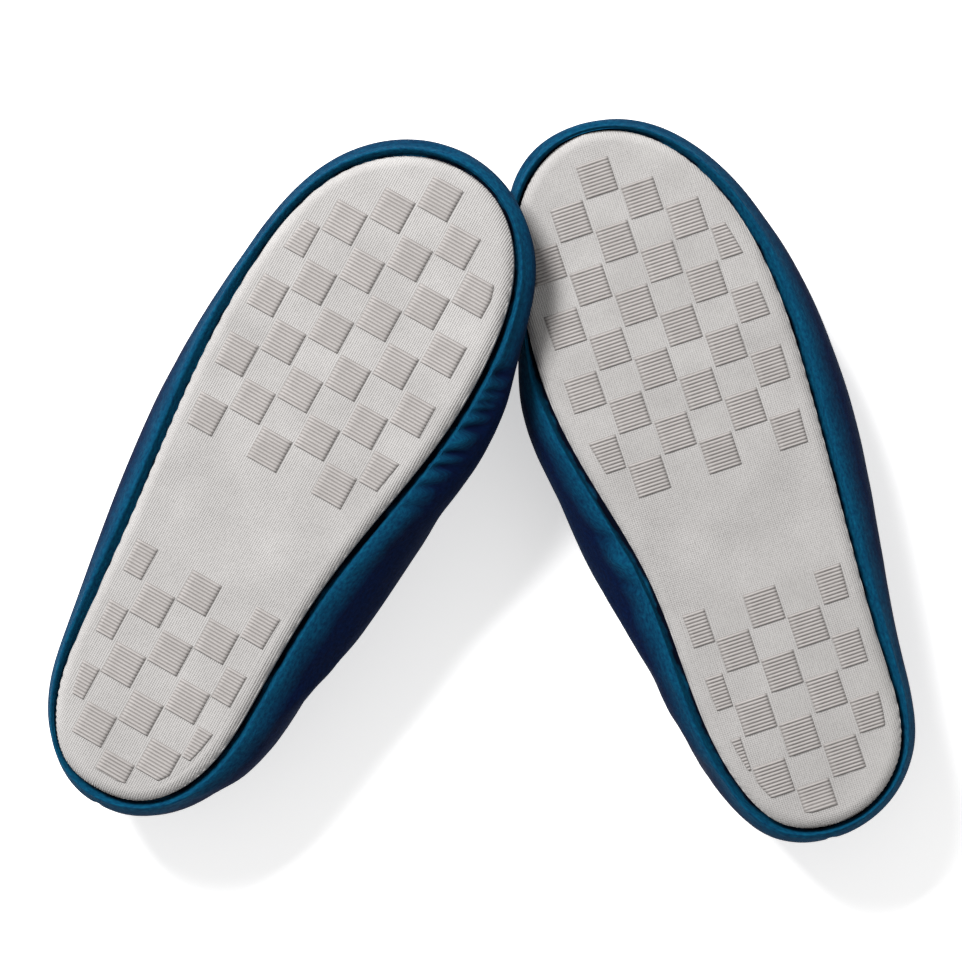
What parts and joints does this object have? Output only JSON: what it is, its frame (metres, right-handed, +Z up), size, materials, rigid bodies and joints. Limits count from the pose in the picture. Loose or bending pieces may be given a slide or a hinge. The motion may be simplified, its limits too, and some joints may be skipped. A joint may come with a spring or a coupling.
{
  "type": "spa slippers",
  "caption": "Pair of soft closed-back slippers lying soles up, with knit soles, a checkerboard of rubber grip squares and velour uppers",
  "frame": {"origin": "centre of the bounding box of the pair on the surface it lies on", "axes": "+Z up, out of the soles of the slippers as they lie upside down; +Y towards the toes; +X across the pair, from the right slipper to the left one"},
  "size_m": [0.3233, 0.2691, 0.0838],
  "materials": {
    "sole_knit": "fine warm grey knit",
    "grip_rubber": "matt translucent grey print with fine ribs",
    "cushion_foam": "soft open foam",
    "insole_plush": "short navy plush",
    "lining_plush": "brushed navy lining",
    "elastic_band": "woven elastic",
    "seam_thread": "stitched navy thread",
    "upper_velour": "petrol blue velour with a sheen"
  },
  "bodies": {
    "left_forefoot": {"left_forefoot_foam": "cushion_foam", "left_forefoot_grip_squares": "grip_rubber", "left_forefoot_insole": "insole_plush", "left_forefoot_outsole": "sole_knit", "left_throat_binding": "upper_velour", "left_throat_elastic": "elastic_band", "left_vamp": "upper_velour", "left_vamp_lining": "lining_plush"},
    "left_heel": {"left_heel_collar_binding": "upper_velour", "left_heel_collar_elastic": "elastic_band", "left_heel_foam": "cushion_foam", "left_heel_grip_squares": "grip_rubber", "left_heel_insole": "insole_plush", "left_heel_lining": "lining_plush", "left_heel_outsole": "sole_knit", "left_heel_quarter": "upper_velour", "left_heel_seam": "seam_thread"},
    "right_forefoot": {"right_forefoot_foam": "cushion_foam", "right_forefoot_grip_squares": "grip_rubber", "right_forefoot_insole": "insole_plush", "right_forefoot_outsole": "sole_knit", "right_throat_binding": "upper_velour", "right_throat_elastic": "elastic_band", "right_vamp": "upper_velour", "right_vamp_lining": "lining_plush"},
    "right_heel": {"right_heel_collar_binding": "upper_velour", "right_heel_collar_elastic": "elastic_band", "right_heel_foam": "cushion_foam", "right_heel_grip_squares": "grip_rubber", "right_heel_insole": "insole_plush", "right_heel_lining": "lining_plush", "right_heel_outsole": "sole_knit", "right_heel_quarter": "upper_velour", "right_heel_seam": "seam_thread"}
  },
  "joints": [
    {"name": "right_lift", "type": "slide", "parent": "left_forefoot", "child": "right_forefoot", "axis": [0, 0, 1], "range_m": [0, 0.25]},
    {"name": "left_waist_fold", "type": "hinge", "parent": "left_forefoot", "child": "left_heel", "pos_m": [0.09306, -0.01929, 0.0603], "axis": [-0.9483, -0.3173, 0], "range_deg": [0, 40], "stiffness_Nm_per_rad": 0.3},
    {"name": "right_waist_fold", "type": "hinge", "parent": "right_forefoot", "child": "right_heel", "pos_m": [-0.08866, -0.01671, 0.0696], "axis": [-0.8646, 0.4875, -0.1215], "range_deg": [0, 40], "stiffness_Nm_per_rad": 0.3}
  ]
}
